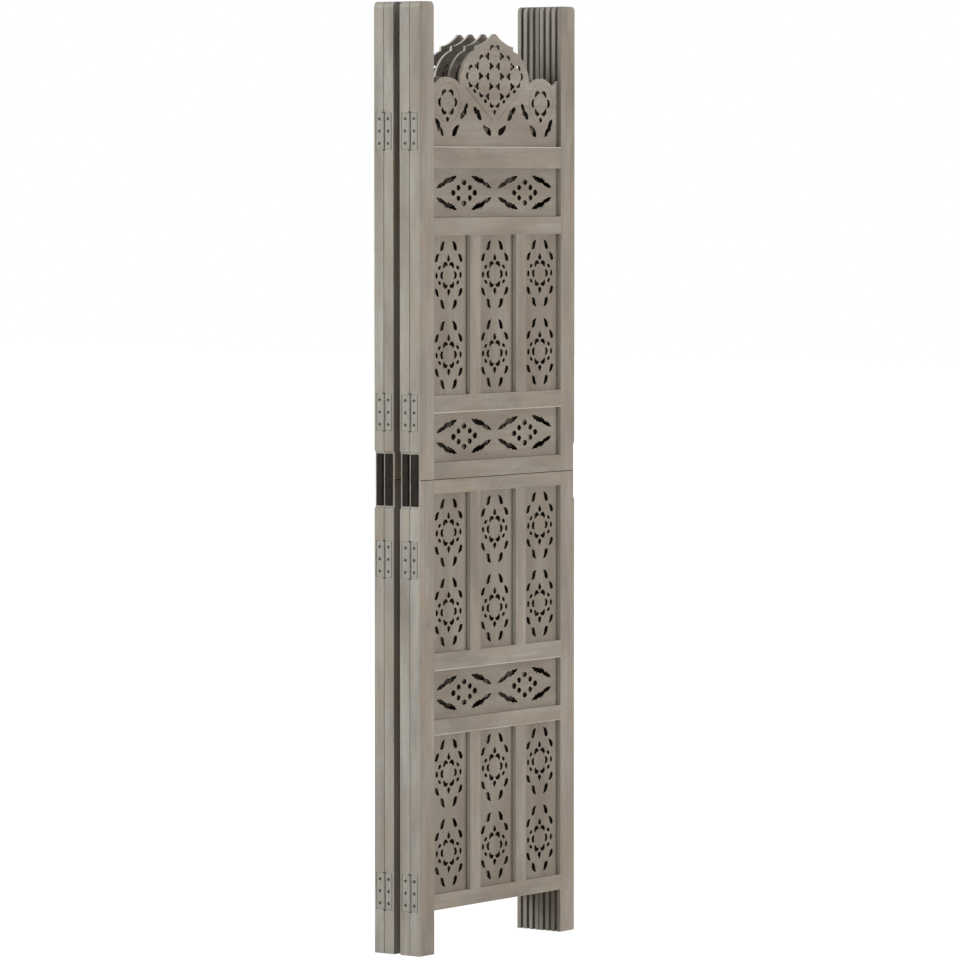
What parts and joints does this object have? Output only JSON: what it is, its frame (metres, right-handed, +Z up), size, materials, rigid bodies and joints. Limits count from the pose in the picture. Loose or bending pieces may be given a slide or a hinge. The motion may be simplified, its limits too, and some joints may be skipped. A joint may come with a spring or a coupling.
{
  "type": "room divider",
  "caption": "Folding room divider of grey-washed wooden panels: grooved frames holding pierced carved boards, ogee crests, and butt hinges in a zigzag.",
  "frame": {"origin": "middle of the folded stack on the floor", "axes": "+Z up, +X to the right along the front panel, front panel faces -Y"},
  "size_m": [0.5148, 0.1092, 1.829],
  "materials": {
    "frame_wood": "matte grey wash over open grain",
    "carved_board_wood": "matte grey wash, pierced and carved",
    "painted_hinge_steel": "painted over in the same grey as the frame",
    "black_joining_steel": "black paint, worn matte"
  },
  "bodies": {
    "panel_1": {"panel_1_upper_rails": "frame_wood", "panel_1_lower_rails": "frame_wood", "panel_1_mullions": "frame_wood", "panel_1_lattice_boards": "carved_board_wood", "panel_1_frieze_boards": "carved_board_wood", "panel_1_crest_board": "carved_board_wood", "panel_1_joining_plates": "black_joining_steel", "panel_1_joining_screws": "black_joining_steel", "panel_1_hinge_plates": "painted_hinge_steel", "panel_1_hinge_screws": "painted_hinge_steel", "panel_1_lower_left_stile": "frame_wood", "panel_1_lower_right_stile": "frame_wood", "panel_1_upper_left_stile": "frame_wood", "panel_1_upper_right_stile": "frame_wood", "hinge_line_1_pins": "painted_hinge_steel"},
    "panel_2": {"panel_2_upper_rails": "frame_wood", "panel_2_lower_rails": "frame_wood", "panel_2_mullions": "frame_wood", "panel_2_lattice_boards": "carved_board_wood", "panel_2_frieze_boards": "carved_board_wood", "panel_2_crest_board": "carved_board_wood", "panel_2_joining_plates": "black_joining_steel", "panel_2_joining_screws": "black_joining_steel", "panel_2_hinge_plates": "painted_hinge_steel", "panel_2_hinge_screws": "painted_hinge_steel", "panel_2_lower_left_stile": "frame_wood", "panel_2_lower_right_stile": "frame_wood", "panel_2_upper_left_stile": "frame_wood", "panel_2_upper_right_stile": "frame_wood", "hinge_line_2_pins": "painted_hinge_steel"},
    "panel_3": {"panel_3_upper_rails": "frame_wood", "panel_3_lower_rails": "frame_wood", "panel_3_mullions": "frame_wood", "panel_3_lattice_boards": "carved_board_wood", "panel_3_frieze_boards": "carved_board_wood", "panel_3_crest_board": "carved_board_wood", "panel_3_joining_plates": "black_joining_steel", "panel_3_joining_screws": "black_joining_steel", "panel_3_hinge_plates": "painted_hinge_steel", "panel_3_hinge_screws": "painted_hinge_steel", "panel_3_lower_left_stile": "frame_wood", "panel_3_lower_right_stile": "frame_wood", "panel_3_upper_left_stile": "frame_wood", "panel_3_upper_right_stile": "frame_wood", "hinge_line_3_pins": "painted_hinge_steel"},
    "panel_4": {"panel_4_upper_rails": "frame_wood", "panel_4_lower_rails": "frame_wood", "panel_4_mullions": "frame_wood", "panel_4_lattice_boards": "carved_board_wood", "panel_4_frieze_boards": "carved_board_wood", "panel_4_crest_board": "carved_board_wood", "panel_4_joining_plates": "black_joining_steel", "panel_4_joining_screws": "black_joining_steel", "panel_4_hinge_plates": "painted_hinge_steel", "panel_4_hinge_screws": "painted_hinge_steel", "panel_4_lower_left_stile": "frame_wood", "panel_4_lower_right_stile": "frame_wood", "panel_4_upper_left_stile": "frame_wood", "panel_4_upper_right_stile": "frame_wood"}
  },
  "joints": [
    {"name": "fold_1", "type": "hinge", "parent": "panel_1", "child": "panel_2", "pos_m": [-0.25437, -0.0311, 0.9145], "axis": [0, 0, 1], "range_deg": [-0.55, 179.45]},
    {"name": "fold_2", "type": "hinge", "parent": "panel_2", "child": "panel_3", "pos_m": [0.25437, -0.00222, 0.9145], "axis": [0, 0, -1], "range_deg": [-1.6, 178.4]},
    {"name": "fold_3", "type": "hinge", "parent": "panel_3", "child": "panel_4", "pos_m": [-0.2541, 0.03111, 0.9145], "axis": [0, 0, 1], "range_deg": [-0.65, 179.35]}
  ]
}
